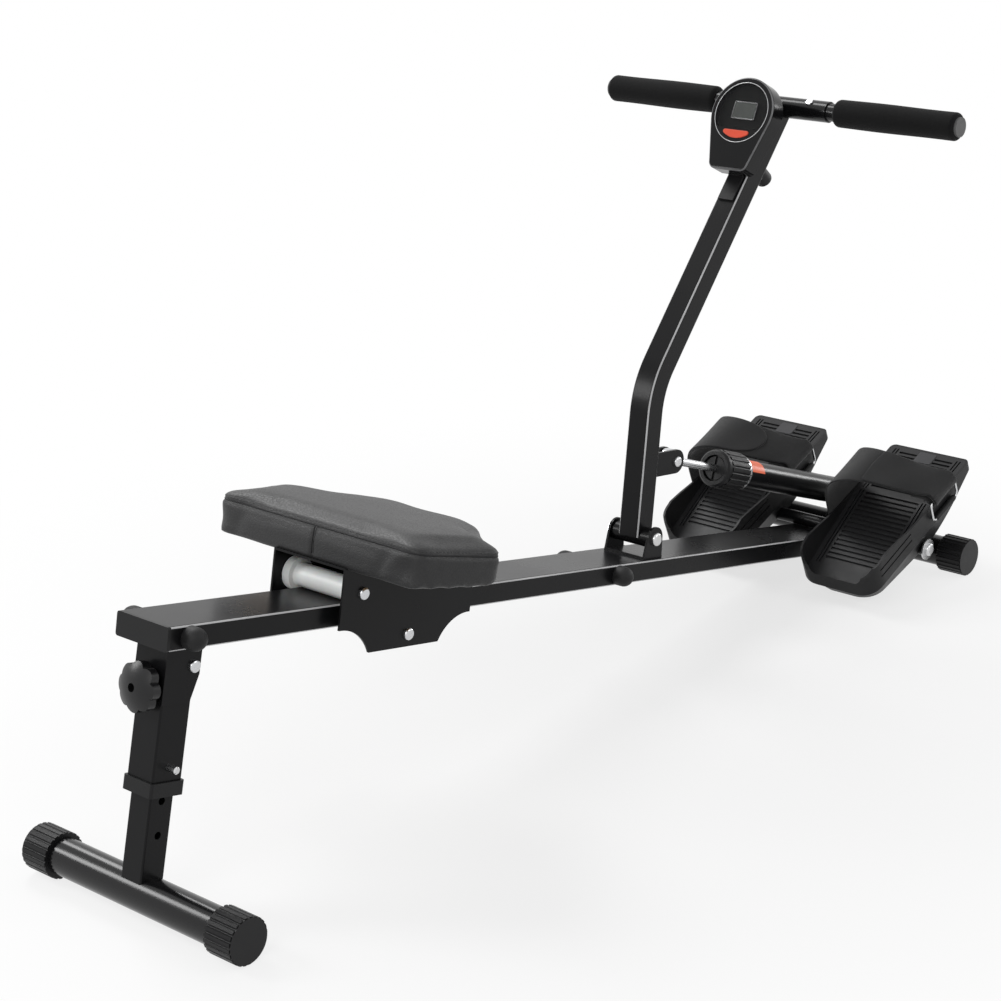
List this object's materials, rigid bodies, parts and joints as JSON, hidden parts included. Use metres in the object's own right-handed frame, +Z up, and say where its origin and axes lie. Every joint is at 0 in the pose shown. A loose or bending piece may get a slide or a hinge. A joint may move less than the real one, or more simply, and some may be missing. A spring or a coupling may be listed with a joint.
{
  "type": "rowing machine",
  "caption": "Folding hydraulic rowing machine: sloping rail with rolling padded seat, pulled handlebar column, damper cylinder with dial and tilting strapped pedals.",
  "frame": {"origin": "on the floor, under the middle of the machine's overall length and width", "axes": "+X forward from the rear bar to the pedals, +Y to the user's left, +Z up"},
  "size_m": [1.3456, 0.524, 0.6817],
  "materials": {
    "frame_paint": "gloss black powder coat",
    "bar_paint": "gloss black paint",
    "cap_plastic": "moulded black plastic",
    "rubber": "black rubber",
    "foam": "closed-cell foam",
    "bright": "bright zinc or chrome",
    "steel": "ground steel",
    "leather": "black leatherette",
    "board": "plywood",
    "roller": "white nylon",
    "pedal": "moulded dark grey plastic",
    "strap": "moulded rubber strap",
    "console": "gloss black plastic",
    "window": "smoked clear plastic",
    "lcd": "grey liquid crystal panel",
    "pcb": "circuit board",
    "button": "red-orange plastic",
    "scale": "silver band",
    "dial": "moulded black plastic",
    "plug": "grey plastic"
  },
  "bodies": {
    "base": {"main_beam": "frame_paint", "beam_end_plug": "cap_plastic", "front_bar": "bar_paint", "front_bar_caps": "cap_plastic", "seat_stops": "rubber", "column_bracket": "frame_paint", "column_pivot_bolt": "bright", "cylinder_clevis": "frame_paint", "cylinder_bolt": "bright", "leg_bracket": "frame_paint", "leg_pivot_bolt": "bright", "pedal_axle": "frame_paint", "pedal_end_bolts": "bright"},
    "leg": {"leg_sleeve": "frame_paint", "leg_collar": "cap_plastic", "inner_leg": "frame_paint", "rear_bar": "bar_paint", "rear_bar_caps": "cap_plastic"},
    "pin": {"height_pin": "bright"},
    "knob": {"leg_knob": "cap_plastic"},
    "seat": {"seat_pad": "leather", "seat_board": "board", "seat_carriage": "frame_paint", "seat_axle_bolts": "bright"},
    "roller_rear": {"seat_roller_rear": "roller"},
    "roller_front": {"seat_roller_front": "roller"},
    "roller_lower": {"seat_roller_lower": "roller"},
    "column": {"column_tube": "frame_paint", "column_bush": "frame_paint", "column_clevis": "frame_paint", "clevis_bolt": "bright", "handle_tee": "frame_paint", "handle_bar": "frame_paint", "foam_grip_left": "foam", "foam_grip_right": "foam", "grip_end_plugs": "plug", "handle_screws": "bright", "column_bumper": "rubber", "console_tongue": "cap_plastic", "console_shell": "console", "console_back": "console", "console_window": "window", "console_lcd": "lcd", "circuit_board": "pcb"},
    "button": {"console_button": "button"},
    "cylinder": {"cylinder_tube": "frame_paint", "cylinder_base": "frame_paint", "scale_ring": "scale", "cylinder_hub": "steel"},
    "dial": {"resistance_dial": "dial"},
    "rod": {"piston_rod": "bright", "piston": "steel"},
    "pedal_left": {"pedal_hull_left": "pedal", "pedal_tread_left": "pedal", "pedal_strap_left": "strap", "pedal_buckle_left": "bright"},
    "pedal_right": {"pedal_hull_right": "pedal", "pedal_tread_right": "pedal", "pedal_strap_right": "strap", "pedal_buckle_right": "bright"}
  },
  "joints": [
    {"name": "leg_fold", "type": "hinge", "parent": "base", "child": "leg", "pos_m": [-0.57397, 0, 0.24979], "axis": [0, -1, 0], "range_deg": [0, 70]},
    {"name": "height_pin_pull", "type": "slide", "parent": "leg", "child": "pin", "axis": [0, 1, 0], "range_m": [0, 0.06]},
    {"name": "leg_knob_turn", "type": "hinge", "parent": "base", "child": "knob", "pos_m": [-0.62223, 0, 0.23937], "axis": [-0.9668, 0, 0.2554], "range_deg": [0, 360]},
    {"name": "seat_slide", "type": "slide", "parent": "base", "child": "seat", "axis": [-0.9751, 0, 0.2215], "range_m": [-0.274, 0.1789]},
    {"name": "roller_rear_spin", "type": "hinge", "parent": "seat", "child": "roller_rear", "pos_m": [-0.36681, 0, 0.26508], "axis": [0, 1, 0], "continuous": true},
    {"name": "roller_front_spin", "type": "hinge", "parent": "seat", "child": "roller_front", "pos_m": [-0.22639, 0, 0.23318], "axis": [0, 1, 0], "continuous": true},
    {"name": "roller_lower_spin", "type": "hinge", "parent": "seat", "child": "roller_lower", "pos_m": [-0.30413, 0, 0.19793], "axis": [0, 1, 0], "continuous": true},
    {"name": "column_pull", "type": "hinge", "parent": "base", "child": "column", "pos_m": [0.15773, 0, 0.15719], "axis": [0, -1, 0], "range_deg": [0, 48]},
    {"name": "button_press", "type": "slide", "parent": "column", "child": "button", "axis": [0.8902, 0, -0.4555], "range_m": [0, 0.0012], "stiffness_N_per_m": 600},
    {"name": "cylinder_swing", "type": "hinge", "parent": "base", "child": "cylinder", "pos_m": [0.62416, 0, 0.0768], "axis": [0, -1, 0], "range_deg": [-0.18583, 0]},
    {"name": "rod_stroke", "type": "slide", "parent": "cylinder", "child": "rod", "axis": [-0.9295, 0, 0.3687], "range_m": [0, 0.08477]},
    {"name": "dial_turn", "type": "hinge", "parent": "cylinder", "child": "dial", "pos_m": [0.36849, 0, 0.17822], "axis": [-0.9295, 0, 0.3687], "range_deg": [0, 330]},
    {"name": "pedal_left_tilt", "type": "hinge", "parent": "base", "child": "pedal_left", "pos_m": [0.56216, 0.113, 0.05], "axis": [0, 1, 0], "range_deg": [0, 25]},
    {"name": "pedal_right_tilt", "type": "hinge", "parent": "base", "child": "pedal_right", "pos_m": [0.56216, -0.113, 0.05], "axis": [0, 1, 0], "range_deg": [0, 25]}
  ],
  "couplings": [
    {"joint": "roller_rear_spin", "follows": "seat_slide", "rad_per_m": -76.923},
    {"joint": "roller_front_spin", "follows": "seat_slide", "rad_per_m": -76.923},
    {"joint": "roller_lower_spin", "follows": "seat_slide", "rad_per_m": 76.923},
    {"joint": "cylinder_swing", "follows": "column_pull", "ratio": -0.0038714},
    {"joint": "rod_stroke", "follows": "column_pull", "m_per_rad": 0.10118}
  ]
}
